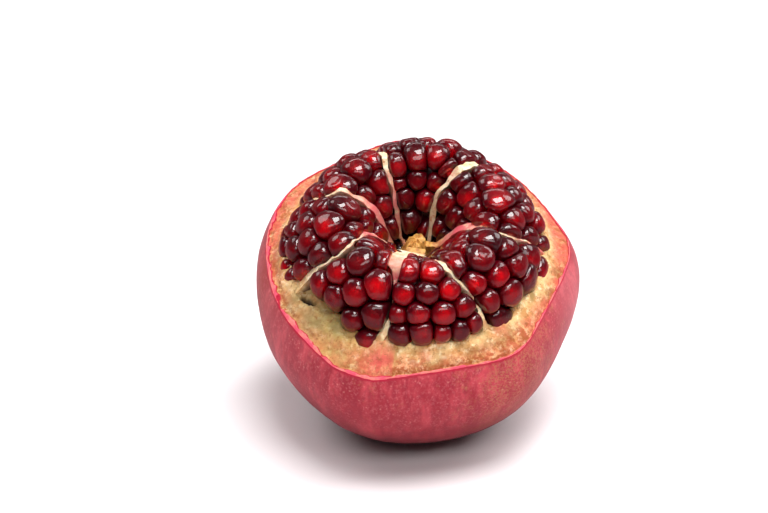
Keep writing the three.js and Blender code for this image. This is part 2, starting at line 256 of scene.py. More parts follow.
def skin_radius(polar):
    """The skin's distance from the middle of the fruit, at a polar angle from the axis."""
    rim_polar = atan2(RIM_RADIUS, RIM_HEIGHT)
    rim_distance = hypot(RIM_RADIUS, RIM_HEIGHT)
    u = np.clip((polar - rim_polar) / (pi / 2 - rim_polar), 0, 1)
    full = rim_distance + (BODY_RADIUS - rim_distance) * np.sin(u * pi / 2)
    from_stem = full * np.sin(np.maximum(pi - polar, 0))
    dimple = SCAR_DEPTH * np.exp(-((from_stem / SCAR_RADIUS) ** 2) * 1.5)
    return full - np.where(polar > pi / 2, dimple, 0)


def grown(radius, height, angle):
    """A place on the even fruit, moved to where the fruit's own sides and rear put it."""
    edge = np.where(height > 0, np.clip((radius - 24) / (RIM_RADIUS - 24), 0, 1), 1)
    below = np.clip((RIM_HEIGHT - height) / (RIM_HEIGHT + BODY_RADIUS), 0, 1)
    drop = REAR_DROP * np.maximum(np.sin(angle), 0) ** 1.5 * edge ** 3 * (1 - below) ** 4
    scale = 1 + (girth(angle) - 1) * edge * (1 - below) ** 1.6 + 0.01 * drop
    return at(radius * scale, angle, height - drop)


def membrane_angle(membrane, radius):
    return np.radians(through(STATIONS, MEMBRANES[membrane][COURSE], radius))


def chamber_angle(chamber, radius, across, gap=0):
    """Angle of a place across a chamber: 0 at its first wall, 1 at its second one."""
    start, end = (
        membrane_angle(name, radius) + side * (MEMBRANES[name][THICK] / 2 + gap) / radius
        for name, side in ((chamber["from"], 1), (chamber["to"], -1)))
    end = np.where(end < start, end + 2 * pi, end)
    return start + (end - start) * across


def chamber_reach(chamber, across):
    reach = through((0, 0.5, 1), chamber["reach"], across)
    return reach - CORNER_ROUNDING * np.abs(2 * across - 1) ** 6


def web_width(membrane, radius):
    return through(WEB_STATIONS, MEMBRANES[membrane][WIDTH], radius)


def wall_radius(angle):
    """Where the pith ledge ends and a chamber or a membrane begins."""
    radius = np.full(angle.shape, LEDGE_RADIUS - 1.5)
    for chamber in CHAMBERS:
        start, end = (float(chamber_angle(chamber, LEDGE_RADIUS + 0.5, side)) for side in (0, 1))
        across = np.mod(angle - start, 2 * pi) / (end - start)
        radius = np.where(across <= 1, chamber_reach(chamber, np.clip(across, 0, 1)), radius)
    return radius


# ---- Mesh helpers ----


def linked(name, data):
    thing = bpy.data.objects.new(name, data)
    scene.collection.objects.link(thing)
    return thing


def piece(name, points, faces, materials, node, attributes, face_slots=None):
    """A finished object from fruit-frame points, standing for a CAD node."""
    mesh = bpy.data.meshes.new(name)
    mesh.from_pydata(to_row(points).tolist(), [], [list(map(int, f)) for f in faces])
    mesh.polygons.foreach_set("use_smooth", [True] * len(mesh.polygons))
    for material in materials:
        mesh.materials.append(material)
    if face_slots is not None:
        mesh.polygons.foreach_set("material_index", np.asarray(face_slots, np.int32))
    for key, values in attributes.items():
        layer = mesh.attributes.new(key, "FLOAT", "POINT")
        layer.data.foreach_set("value", np.asarray(values, np.float32))
    mesh.update()
    thing = linked(name, mesh)
    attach(thing, "root")
    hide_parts(node)
    return thing


def side_by_side(corners):
    """Each corner of a ring and the next one."""
    return [(a, (a + 1) % corners) for a in range(corners)]


def ring_faces(rings, corners, first=0):
    """Faces between rings of corners that follow each other."""
    return [(low + a, low + b, low + corners + b, low + corners + a)
            for low in range(first, first + (rings - 1) * corners, corners)
            for a, b in side_by_side(corners)]


def turned_faces(rings, corners):
    """Faces of a closed skin: a point, rings of one size, and a point."""
    low, tip = 1 + (rings - 1) * corners, 1 + rings * corners
    return [*((0, 1 + b, 1 + a) for a, b in side_by_side(corners)), *ring_faces(rings, corners, 1),
            *((low + a, low + b, tip) for a, b in side_by_side(corners))]


def loft_faces(sections, corners):
    """Faces of a closed bar: sections with one number of corners, and a cap at each end."""
    cap = np.arange(corners)
    return [*ring_faces(sections, corners), cap[::-1], cap + (sections - 1) * corners]


def ball(subdivisions):
    """Directions and triangles of an evenly divided ball."""
    shape = bmesh.new()
    bmesh.ops.create_icosphere(shape, subdivisions=subdivisions, radius=1)
    shape.verts.ensure_lookup_table()
    directions = np.array([v.co[:] for v in shape.verts])
    faces = np.array([[v.index for v in f.verts] for f in shape.faces])
    shape.free()
    return directions / np.linalg.norm(directions, axis=1)[:, None], faces


# ---- Materials ----


class Nodes:
    """A short way to write the nodes of a material, or of the world."""

    def __init__(self, name, home=None, shader="Principled BSDF"):
        self.owner = (bpy.data.materials if home is None else home).new(name)
        self.owner.use_nodes = True
        self.tree = self.owner.node_tree
        self.shader = self.tree.nodes[shader]

    def put(self, node, inputs):
        for socket, value in inputs:
            target = node.inputs[socket.replace("_", " ") if isinstance(socket, str) else socket]
            if isinstance(value, bpy.types.NodeSocket):
                self.tree.links.new(value, target)
            else:
                target.default_value = value

    def add(self, kind, settings, *numbered, **named):
        """A new node: its settings, and its inputs in order or by name."""
        node = self.tree.nodes.new("ShaderNode" + kind)
        for key, value in settings.items():
            setattr(node, key, value)
        self.put(node, [*enumerate(numbered), *named.items()])
        return node.outputs

    def finished(self, **inputs):
        """The material or world itself, with its shader's inputs filled."""
        self.put(self.shader, inputs.items())
        return self.owner

    def attributes(self, *names):
        return [self.add("Attribute", {"attribute_name": name})["Fac"] for name in names]

    def place(self, along=1):
        """The fruit's own coordinates in millimetres, with its axis stretched."""
        turned = self.add("VectorRotate", {"rotation_type": "X_AXIS"},
                          Vector=self.add("TexCoord", {})["Object"],
                          Center=(0, 0, (BODY_RADIUS - REST_DEPTH) * MM), Angle=-LEAN)[0]
        scale = (1 / MM, 1 / MM, along / MM)
        return self.add("VectorMath", {"operation": "MULTIPLY"}, turned, scale)[0]

    def noise(self, size, detail=3, roughness=0.6, along=1, place=None):
        """Noise from about 0 to 1 with lumps of a size in millimetres."""
        return self.add("TexNoise", {}, Vector=place or self.place(along), Scale=1 / size,
                        Detail=detail, Roughness=roughness)["Fac"]

    def cells(self, size):
        return self.add("TexVoronoi", {}, Vector=self.place(), Scale=1 / size)["Distance"]

    def ramp(self, value, low, high, out_low=0, out_high=1, kind="SMOOTHSTEP"):
        """Runs from out_low to out_high while a value runs from low to high."""
        return self.add("MapRange", {"interpolation_type": kind},
                        value, low, high, out_low, out_high)[0]

    def spots(self, low, high, size, *lumps, least=0, most=1, **where):
        """Patches: noise with lumps of a size, through a ramp from low to high."""
        return self.ramp(self.noise(size, *lumps, **where), low, high, least, most)

    def math(self, operation, a, b):
        return self.add("Math", {"operation": operation}, a, b)[0]

    def mix(self, share, a, b):
        node = self.tree.nodes.new("ShaderNodeMix")
        node.data_type = "RGBA"
        self.put(node, ((0, share), (6, a), (7, b)))
        return node.outputs[2]

    def painted(self, under, *layers):
        """Screen colours laid over what is there, each by the product of its shares."""
        for colour, share, *shares in layers:
            for other in shares:
                share = self.math("MULTIPLY", share, other)
            under = self.mix(share, under, rgb(*colour))
        return under

    def bump(self, height, distance, strength, under=None):
        """Bump of a height from 0 to 1 over a distance in millimetres."""
        below = {"Normal": under} if under else {}
        return self.add("Bump", {}, Height=height, Distance=distance * MM, Strength=strength, **below)[0]


def rgb(*screen):
    """A screen colour of 0 to 255 as the linear colour that shaders take."""
    shares = (c / 255 for c in screen)
    return (*(c / 12.92 if c <= 0.04045 else ((c + 0.055) / 1.055) ** 2.4 for c in shares), 1)


def pith_colour(m):
    """Cream spongy pith with olive, salmon and orange-brown patches and light cream fibres."""
    return m.painted(
        m.mix(m.spots(0.38, 0.66, 3.4), rgb(234, 196, 138), rgb(208, 152, 92)),
        ((174, 140, 86), m.spots(0.5, 0.72, 5.5, 3, 0.55)),
        ((240, 168, 122), m.spots(0.58, 0.72, 7, 2, 0.5, 2, most=0.6)),
        ((206, 142, 80), m.spots(0.54, 0.72, 1.3, 4, 0.65, most=0.6)),
        ((255, 234, 190), m.spots(0.5, 0.68, 1.9, 4, 0.65, most=0.75)))


def rind_material():
    m = Nodes("rind")
    pith, cut, stem, under = m.attributes("pith", "cut", "stem", "under")
    olive, painted_sheen, ember = m.attributes("olive", "painted_sheen", "ember")
    near_rim, flush, rosy, hollow, crack_and_painted_shade = m.attributes("near_rim", "flush", "rosy", "hollow", "crack_and_painted_shade")
    turn, inward = m.attributes("turn", "inward")
    round_rim = m.add("CombineXYZ", {}, turn, inward)[0]    # for what runs along the rim
    streaks = m.noise(6, along=0.2)
    specks = m.spots(0.46, 0.74, 0.7, 3, 0.7, 0.7)
    tan = m.math("ADD", m.math("MULTIPLY", olive, 0.34), m.noise(3.6, 4, 0.65, 0.6))
    skin = m.painted(
        m.mix(m.ramp(streaks, 0.32, 0.62), rgb(210, 70, 82), rgb(166, 36, 52)),
        ((158, 36, 54), m.spots(0.42, 0.72, 1.8, along=0.4, most=0.8)),
        ((164, 46, 34), ember, m.spots(0.3, 0.6, 3, along=0.4, least=0.5)),
        # painted sheen: paler pink streaks on the skin's right side and, weaker, at its left rear
        ((226, 128, 134), painted_sheen, m.ramp(streaks, 0.3, 0.6, 0.6, 0.3)),
        ((228, 124, 128), specks, m.spots(0.3, 0.62, 3.2, along=0.5, least=0.12, most=0.5)),
        ((188, 122, 84), m.ramp(tan, 0.56, 0.82), m.spots(0.4, 0.64, 0.6, 3, 0.7), 0.62),
        ((232, 150, 140), m.ramp(m.cells(2.6), 0.05, 0.16, 1, 0), 0.35),    # scuffs
        # painted shade: the skin darkened low down near the floor, where the fruit's own shadow falls
        ((98, 12, 24), under, 0.85),
        ((104, 72, 44), stem))
    burnt = m.ramp(olive, 0, 1, 1, 0.4)
    dabs = m.spots(0.4, 0.56, 2, 5, 0.7, least=0.1)
    inner = m.painted(
        pith_colour(m),
        ((182, 160, 88), olive, m.spots(0.25, 0.6, 2.6, least=0.2, most=0.85)),
        ((158, 92, 42), near_rim, m.spots(0.26, 0.5, 5, least=0.5), burnt, dabs),
        ((226, 106, 90), flush, m.spots(0.3, 0.6, 4.2, along=0.5), 0.9),
        ((214, 94, 84), rosy, m.spots(0.28, 0.56, 1.1, place=round_rim, least=0.45), 0.95),
        # painted shade: grey-olive darkening in the shallow hollows of the pith
        ((146, 128, 84), hollow, m.spots(0.2, 0.55, 2.4, least=0.3), 0.8),
        ((148, 92, 48), m.spots(0.54, 0.64, 1.2, 4, 0.75, most=0.6)),    # pores
        # painted shade: near-black down in the crack in the pith
        ((40, 26, 20), crack_and_painted_shade))
    edge = m.mix(m.spots(0.4, 0.62, 3.4), rgb(232, 84, 108), rgb(250, 132, 124))
    edge = m.mix(m.ramp(cut, 0.66, 0.9), rgb(182, 22, 54), edge)
    fibres = m.mix(0.5, m.noise(0.8, 4, 0.7), m.noise(0.9, place=round_rim))
    grain = m.bump(m.mix(0.5, m.noise(0.7), m.cells(0.5)), 0.06, m.ramp(pith, 0, 1, 0.4, 0))
    return m.finished(
        Base_Color=m.mix(m.ramp(cut, 0, 0.5), m.mix(pith, skin, inner), edge),
        Normal=m.bump(fibres, 0.6, m.ramp(pith, 0, 1, 0, 1), grain),
        Roughness=m.ramp(pith, 0, 1, 0.46, 0.85), Specular_IOR_Level=0.25,
        Sheen_Weight=0.12, Sheen_Roughness=0.4, Sheen_Tint=(1, 0.68, 0.72, 1),
        Subsurface_Weight=0.06, Subsurface_Radius=(1, 0.4, 0.25), Subsurface_Scale=0.0015)


def membrane_material():
    m = Nodes("membrane")
    foot, rosy, core, painted_shade = m.attributes("foot", "rosy", "core", "painted_shade")
    strands = m.spots(0.36, 0.66, 1.3, 4, 0.65, 0.2)
    flesh = m.mix(strands, rgb(226, 172, 88), rgb(166, 106, 44))
    cream = m.painted(
        m.mix(m.spots(0.4, 0.7, 2.4, 4), rgb(255, 236, 200), rgb(240, 196, 146)),
        ((206, 142, 92), m.spots(0.52, 0.72, 1.1, 4, 0.65)))
    cream = m.painted(m.mix(foot, cream, pith_colour(m)),
                      ((222, 88, 100), rosy, m.spots(0.22, 0.48, 1.8)))
    return m.finished(
        # painted shade: dark red-brown on the membranes' sides below their top edge, and on the column low
        # down in the pit
        Base_Color=m.painted(m.mix(core, cream, flesh), ((60, 18, 14), painted_shade)),
        Roughness=0.5, Normal=m.bump(m.noise(0.5, 4, 0.7), 0.3, 0.5),
        Subsurface_Weight=0.2, Subsurface_Radius=(1, 0.45, 0.3), Subsurface_Scale=0.0012)


def aril_material():
    """Clear red flesh under a wet coat, with a painted glow in the middle of each aril and painted shade
    towards its rims, where arils press together.
    """
    m = Nodes("aril_flesh")
    tone, painted_rim_shade, painted_shade = m.attributes("tone", "painted_rim_shade", "painted_shade")
    # painted glow: the bright red in the middle of each aril
    painted_glow_colour = m.mix(tone, rgb(190, 0, 22), rgb(250, 4, 30))
    # painted shade: the darker red towards each aril's rims
    colour = m.mix(painted_rim_shade, painted_glow_colour, m.mix(tone, rgb(100, 0, 20), rgb(140, 0, 28)))
    wave = m.bump(m.noise(1.3, 2, 0.5), 0.35, 0.42)
    dimples = m.spots(0.36, 0.52, 2.6, 1, 0.5, least=0.25)
    return m.finished(
        # painted shade: arils deep in the pit behind the column are darkened
        Base_Color=m.painted(colour, ((50, 2, 10), painted_shade)), Roughness=0.3, IOR=1.22,
        Transmission_Weight=0.74, Specular_IOR_Level=0.1,
        Normal=m.bump(m.noise(0.65), 0.3, dimples, wave),
        Coat_Weight=1, Coat_Roughness=0.03, Coat_IOR=1.52)


def seed_material():
    m = Nodes("aril_seed")
    tone, painted_shade = m.attributes("tone", "painted_shade")
    colour = m.mix(tone, rgb(186, 2, 20), rgb(255, 30, 40))
    # painted shade for seeds of arils deep in the pit
    return m.finished(Base_Color=m.painted(colour, ((84, 8, 14), painted_shade)), Roughness=0.5)


def shade_bed_material():
    m = Nodes("shade_bed")
    # painted shade: dark red that shows in the gaps between the arils
    colour = m.mix(m.noise(2, 3, 0.5), rgb(84, 4, 14), rgb(40, 2, 8))
    return m.finished(Base_Color=colour, Roughness=0.3)


# ---- Rind ----

RIND_COLUMNS = 600
SKIN_ROWS, LEDGE_ROWS, BOWL_ROWS = 84, 36, 9
SKIN_RELIEF = ((0.16, 9, 1), (0.05, 2.4, 2))  # of each layer: height, lump's width and seed
EDGE_WANDER = ((0.35, 5, 3), (0.35, 1.7, 9), (0.3, 0.9, 10))
PITH_RELIEF = ((0.8, 4, 4), (0.45, 1.7, 5), (0.3, 0.8, 6))
WALL_STEPS = ((0.5, 0.1), (1.5, 0.2), (3.5, 0.1), (7, -0.5), (11, -1.2))  # down, and inwards
SOCKET_FIT = 0.93  # how closely the pith's sockets fit the arils
SOCKET_STEP = 0.25  # the pith is pressed down by this much at a time
COLLAR = 0.35  # how far the pith rises round an aril
SOCKET_ARILS = 28  # radius beyond which arils may sit in the pith
TORN_SIDE = 205  # angle where the cut skin shows widest
CUT_WIDTH = 0.62  # width of the cut skin elsewhere,
CUT_WIDER = 0.7  # and what is added to it there
RIDGES = ((0.42, 0.45, 0.32), (-0.45, 1.3, 0.5))  # lip and groove: height, place and width
UNDERCUT = 2.6  # how far the pith reaches in between the outermost arils
HOLLOWS = ((38, 222, 5), (38, 211, 4), (36, 233, 3))  # radius, angle and width
HOLLOW_DEPTH = 1.3
CRACK = ((36.6, 210.5), (35.6, 217))  # radius and angle of its ends
CRACK_DEPTH, CRACK_BRINK = 1.8, 0.8
FLAP = (41, 257, 5.5)  # radius, angle and width
FLAP_RISE = 0.7
FLAP_EDGE = (261.6, 260.9)  # angles where the salmon flap begins, and is full


def socketed(points, arils):
    """Pith pressed down out of the arils that sit in it, with a low collar round each."""
    points = points.copy()
    for aril in arils:
        offset = points - aril["spot"]
        near = np.flatnonzero(np.hypot(offset[:, 0], offset[:, 1]) < aril["wide"] + 2)
        if not len(near):
            continue
        offset = offset[near]

        def share(offset):
            distance = np.linalg.norm(offset, axis=1)
            return distance / aril_reach(aril, offset / distance[:, None])[0]

        within = share(offset)
        points[near, 2] += COLLAR * bell(within - 1, 0.12) * (within > 1)
        down = np.zeros(len(near))
        for _ in range(40):
            inside = share(offset - np.outer(down, [0, 0, 1])) < SOCKET_FIT
            inside &= within < SOCKET_FIT
            if not inside.any():
                break
            down[inside] += SOCKET_STEP
        points[near, 2] -= down
    return points


def rind_piece(material, arils):
    angle = round_angles(RIND_COLUMNS)
    rim_polar = atan2(RIM_RADIUS, RIM_HEIGHT)
    rows, looks = [], []

    def add(points, pith_share, cut_share, inward=0):
        rows.append(points)
        looks.append(np.broadcast_arrays(pith_share, cut_share, inward, angle)[:3])

    for step in range(1, SKIN_ROWS + 1):
        polar = pi + (rim_polar - pi) * (step / SKIN_ROWS) ** 0.92
        reach = skin_radius(polar)
        points = grown(reach * sin(polar), reach * cos(polar) + 0 * angle, angle)
        outward = points / np.linalg.norm(points, axis=-1)[:, None]
        points = points + outward * layered(noise, points, SKIN_RELIEF)[:, None]
        add(points, 0, 0.5 * smooth(0.8, 0.2, (polar - rim_polar) * BODY_RADIUS))
    rim = rows[-1]
    wall = wall_radius(angle) - UNDERCUT
    rim_radius = np.hypot(rim[:, 0], rim[:, 1])
    cut_width = CUT_WIDTH + CUT_WIDER * smooth(75, 25, np.abs(degrees_off(angle, TORN_SIDE)))
    for step in range(1, LEDGE_ROWS + 1):
        inward = (rim_radius - wall) * (step / LEDGE_ROWS) ** 1.25
        plan = rim_radius - inward
        profile = RIM_RADIUS - inward
        profile = profile + (plan - profile) * smooth(0, 4, inward)
        rough = rim[:, 2] - RIM_HEIGHT
        height = rind_top(np.maximum(profile, LEDGE_RADIUS)) + rough * smooth(6, 0, inward)
        points = at(plan, angle, height - top_drop(profile, angle) * smooth(0, 4, inward))
        from_edge = layered(noise, points, EDGE_WANDER, total=inward / cut_width)
        ridges = sum(height * bell(from_edge - place, width) for height, place, width in RIDGES)
        relief = smooth(0.6, 2.2, inward) * layered(noise, points, PITH_RELIEF)
        points[:, 2] += ridges + relief
        add(socketed(points, arils), smooth(0.4, 0.9, from_edge), smooth(1.15, 0.3, from_edge), inward)
    edge = rows[-1]
    for fall, draw in WALL_STEPS:
        add(at(wall - draw, angle, edge[:, 2] - fall), 1, 0)
    for step in range(1, BOWL_ROWS):
        polar = pi / 2 + (pi / 2) * step / BOWL_ROWS
        plan = np.minimum(BOWL_RADIUS * sin(polar), wall + 1.4)
        add(at(plan, angle, BOWL_RADIUS * cos(polar)), 1, 0)
    stem_point = [[0, 0, -float(skin_radius(pi))]]
    points = np.concatenate([stem_point, *rows, [[0, 0, -BOWL_RADIUS]]])
    pith, cut, depth = np.concatenate([[[0], [0], [0]], *looks, [[1], [0], [0]]], axis=1)
    from_axis = np.hypot(points[:, 0], points[:, 1])
    turn = np.arctan2(points[:, 1], points[:, 0])

    def around(degrees, width):
        return bell(degrees_off(turn, degrees), width)

    def near(radius, degrees, width):
        off = points[:, :2] - radius * heading(radians(degrees))
        return np.exp(-np.sum(off ** 2, 1) / width ** 2) * pith

    # Shallow hollows in the pith: pressed down, and darkened there with painted shade
    hollow = np.max([near(*spot) for spot in HOLLOWS], axis=0)
    start, end = (radius * heading(radians(degrees)) for radius, degrees in CRACK)
    share = np.clip((points[:, :2] - start) @ (end - start) / np.sum((end - start) ** 2), 0, 1)
    off = points[:, :2] - start - share[:, None] * (end - start)
    off = np.hypot(off[:, 0], off[:, 1]) + 0.45 * noise(points, 0.9, 9)
    # The crack: how deep the pith is pressed down there, and the painted shade that darkens it
    crack_and_painted_shade = smooth(0.9, 0.15, off) * pith
    brink = smooth(2.6, 0.4, off)
    points[:, 2] -= HOLLOW_DEPTH * hollow + CRACK_DEPTH * crack_and_painted_shade + CRACK_BRINK * brink * pith
    flap_side = smooth(*FLAP_EDGE, np.degrees(turn) % 360)
    points[:, 2] += FLAP_RISE * near(*FLAP) * flap_side
    rosy = (around(22, 14) * 0.6 + around(47, 8)) * smooth(36, 39, from_axis)
    rosy = rosy + near(40.8, 256, 5) * flap_side
    rosy = rosy + 0.6 * near(38.5, 273.5, 1.6) + 0.6 * near(37.6, 306.8, 2.2)
    flushed = 0.3 + 0.7 * around(8, 45) + 0.6 * around(160, 28)
    floor = to_row(points)[:, 2]
    attributes = {
        "pith": pith, "cut": cut, "hollow": hollow,
        "stem": np.where(points[:, 2] < -40, smooth(8, 3, from_axis), 0) * (1 - pith),
        "olive": around(-52, 20) * (1 - pith) + around(233, 15) * pith,
        "rosy": rosy, "near_rim": smooth(37.8, 41, from_axis) * pith,
        # painted sheen on the skin's right side and, weaker, at its left rear
        "painted_sheen": around(-16, 13) + 0.45 * around(205, 22), "ember": around(190, 15),
        # painted shade: how near a point of the skin lies to the floor, to darken it there
        "under": smooth(32 * MM, 3 * MM, floor),
        "flush": smooth(37, 40.5, from_axis) * pith * flushed,
        "crack_and_painted_shade": crack_and_painted_shade, "turn": turn * RIM_RADIUS, "inward": depth * 0.3,
    }
    low = floor < 0    # the resting spot: what lies under the floor goes back up to it
    back = -floor[low] / MM
    points[low, 2] += back * cos(LEAN)
    points[low, 1] += back * sin(LEAN)
    return piece("rind_skin_and_pith", points, turned_faces(len(rows), RIND_COLUMNS), [material],
                 "rind", attributes)


# ---- Membranes and core ----

MEMBRANE_STEPS = 150
MEMBRANE_ENDS = (2.6, 39.2)  # radii
# Of each row of corners: how far it lies below the top, and its share of the real thickness
MEMBRANE_PROFILE = ((0, 0.84), (0.05, 0.96), (0.16, 1), (0.5, 0.9), (1.1, 0.74), (2, 0.64),
                    (3.2, 0.6), (5.2, 0.55), (8, 0.55), (14, 0.55))
WEB_RAGGED = ((0.55, 3.4, 20), (0.45, 1.3, 40))  # of each layer: height, size and seed
WEB_WIDTHS = ((0.4, 2.7, 60), (0.35, 1.1, 70))
WEB_BENDS = ((0.5, 3.7, 80), (0.3, 1.6, 90))
WEB_RELIEF = ((0.3, 1.9, 90), (0.12, 0.9, 95))
FOOT_SINK = 2  # a membrane's outer end goes down into the pith
CORE_RISE = 3.8  # the torn top of the column over its even height
CORE_SHIFT = -0.9
CORE_BOTTOM = 54
CORE_FLARE = 3  # how much wider it is at its foot
CORE_STRANDS = ((0.22, 2.2, 11), (0.1, 0.9, 12))


def membrane_piece(name, number, material):
    membrane = MEMBRANES[name]
    radii = np.linspace(*MEMBRANE_ENDS, MEMBRANE_STEPS)
    angle = membrane_angle(name, radii)
    run = np.gradient(at(radii, angle, 0)[:, :2], axis=0)
    run /= np.linalg.norm(run, axis=1)[:, None]
    side = np.stack([-run[:, 1], run[:, 0]], -1)
    top = rind_top(radii) + through(WEB_STATIONS, membrane[RISE], radii)
    top = top - top_drop(radii, angle) * smooth(PIT_EDGE - 1.5, PIT_EDGE + 1, radii)
    line = at(radii, angle, top)
    foot = smooth(31, 36, radii)
    ragged = layered(kinked, radii, WEB_RAGGED, number)
    top = top + ragged * (1 - 0.7 * foot) - FOOT_SINK * smooth(35.2, 38, radii)
    wide = web_width(name, radii) * layered(kinked, radii, WEB_WIDTHS, number, 1)
    bends = layered(kinked, radii, WEB_BENDS, number)
    rosy = through(WEB_STATIONS, membrane[ROSY], radii) + 0.35 * noise(line, 3, 75 + number)
    rosy = np.clip(rosy, 0, 1)
    lean = 0.5 * noise(line, 7, 85 + number)
    sections, painted_shade = [], []
    for sign, profile in ((1, MEMBRANE_PROFILE[::-1]), (-1, MEMBRANE_PROFILE)):
        for drop, share in profile:
            spot = at(radii, angle, top - drop)
            sway = layered(noise, spot, WEB_RELIEF, number, bends * exp(-drop / 2.5))
            sway = sway + lean * exp(-drop / 1.5)
            spot[:, :2] += side * (sway + sign * share * wide / 2)[:, None]
            sections.append(spot)
            # painted shade: how far down the membrane's side a row lies, where it darkens
            painted_shade.append(smooth(0.7, 4.5, drop) + 0 * radii)

    def flat(columns):
        return np.stack(columns, 1).reshape(-1, *columns[0].shape[1:])

    def alike(values):
        return flat([values] * len(sections))

    return piece("membrane_" + name, flat(sections), loft_faces(MEMBRANE_STEPS, len(sections)),
                 [material], "rind",
                 {"painted_shade": flat(painted_shade), "core": alike(smooth(9, 4, radii)), "rosy": alike(rosy),
                  "foot": alike(foot)})


def core_piece(material):
    rings, columns = 110, 96
    angle = round_angles(columns)
    rows = []
    for i in range(rings):
        drop = 0.05 + 17 * (i / (rings - 1)) ** 1.2 if i < rings - 1 else CORE_BOTTOM
        radius = 2.3 * min(drop / 0.5, 1) ** 0.5 + min(0.36 * drop, CORE_FLARE)
        spot = at(1, angle, 0)
        fibre = spot * 4 + np.array([0, 0, -0.16 * drop])
        spot[:, :2] *= (radius * (1 + layered(noise, fibre, CORE_STRANDS)))[:, None]
        frayed = (noise(fibre, 1.5, 13) + 0.3 * spot[:, 0]) * exp(-drop / 3)
        spot[:, 2] = CORE_HEIGHT + CORE_RISE - drop + frayed
        lean = exp(-drop / 4)
        rows.append(spot + np.array([CORE_SHIFT + 0.9 * lean, 0.8 * lean, 0]))
    tip = [CORE_SHIFT + 0.9, 0.8, CORE_HEIGHT + CORE_RISE]
    end = [CORE_SHIFT, 0, CORE_HEIGHT + CORE_RISE - CORE_BOTTOM - 0.5]
    points = np.concatenate([[tip], *rows, [end]])
    faces = [face[::-1] for face in turned_faces(rings, columns)]    # its rings run downwards
    # painted shade on the column's lower part, down in the pit
    return piece("core_column", points, faces, [material], "rind",
                 {"painted_shade": smooth(9, 3, points[:, 2]), "core": np.ones(len(points))})


def stem_piece(material):
    rings, columns = 16, 40
    angle = round_angles(columns)
    rows = []
    for i in range(rings):
        share = i / (rings - 1)
        spot = at(1, angle, -BODY_RADIUS - 0.2 + STUB_LENGTH * share)
        radius = STUB_RADIUS * (1.15 - 0.15 * share) * (0.72 if i == 0 else 1)
        uneven = 1 + 0.1 * noise(spot * np.array([3, 3, 0.3]), 1.5, 14)
        spot[:, :2] *= (radius * uneven)[:, None]
        rows.append(spot)
    points = np.concatenate([[[0, 0, -BODY_RADIUS - 0.1]], *rows, [[0, 0, -BODY_RADIUS + STUB_LENGTH]]])
    return piece("stem_stub", points, turned_faces(rings, columns), [material], "rind",
                 {"stem": np.ones(len(points))})


# ---- Arils ----

WALK_STEP = 0.1
WALK_START = CHAMBER_INNER + 1.7
WALK_RADII = WALK_START + WALK_STEP * np.arange(int((BOWL_RADIUS - 4 - WALK_START) / WALK_STEP) + 1)
CLIMBS = top_height(WALK_RADII + WALK_STEP, ARIL_SINK) - top_height(WALK_RADII, ARIL_SINK)
WALKED = np.concatenate([[0], np.cumsum(np.hypot(WALK_STEP, CLIMBS))])

ARIL_SPREAD = 1.52  # half width of a free aril over the half width of its own room
ARIL_TALL = 4.5  # from its middle to its tip
ARIL_DEEP = 5.6  # from its middle down to where it is held
SEAM = 0.01  # half the gap between two arils
SQUEEZE = 7  # how flat the sides are where arils press on each other
SETTLING = 9  # rounds in which arils move to the middle of their own room
SETTLE_SHARE = 0.8
ROW_DISORDER = 1.2  # how far arils start out of their row
SIZE_SPREAD = 0.17  # how much more room the largest arils take
WALL_SINK = 1.4  # arils beside a membrane lie deeper
MIDDLE_RISE = 0.6  # arils in the middle of a chamber stand higher
INNER_SINK = 1.6  # and those next to the column, in front, lie deeper
DOWNWARD = np.array([0, -sin(LEAN), -cos(LEAN)])  # gravity, in the fruit's frame
ROOM_COLUMNS, ROOM_ROWS = 48, 100  # samples of a chamber's ground, for the arils' rooms
INNER_ROOM = 2.4  # arils' own rooms begin this far inside the first row
INNER_RUN, OUTER_RUN = 0.62, 0.7  # run in plan per length along it, there and at the rim
EDGE_ROOM = 2.6  # arils' own rooms end this far before the pith
NEIGHBOUR = 14  # arils farther apart than this don't press on each other
WALL_GAP = 0.1
LEAST_ROOM = 1.2  # least distance of what presses on an aril from its middle
TIP_DISORDER = (0.12, 0.16)
SIZE_DISORDER = 0.07
LEDGE_OVERHANG = 0.4  # how far the outermost arils may lie over the pith
# painted glow: the bright middle is set below the tip, where light from above gathers
PAINTED_GLOW_FALL = 0.35  # how far the bright middle of an aril lies below its tip
ARIL_LUMPS = ((0.1, 2.1, 15), (0.05, 1, 16))  # of each layer: height, width and seed
DENTED = 0.55  # draws over this have a dent in the tip,
DENT = 0.45  # this deep
SEED_SHARE = np.array([0.58, 0.56, 0.74])  # of an aril's room, and of its height
SEED_HEIGHT = 3.8
SEED_DISORDER = 0.12
SEED_BACK, SEED_FALL = 0.2, 0.35  # how far seeds lie below the middle, and sag
BED_GRID = (30, 14)  # along and across


def walked(reach):
    """Length along the surface out to the outermost row of arils."""
    return WALKED[int(round((float(reach) - ARIL_INSET - WALK_START) / WALK_STEP))]


def walked_radius(reach, fraction):
    return WALK_START + WALK_STEP * int(np.argmax(WALKED >= walked(reach) * fraction))


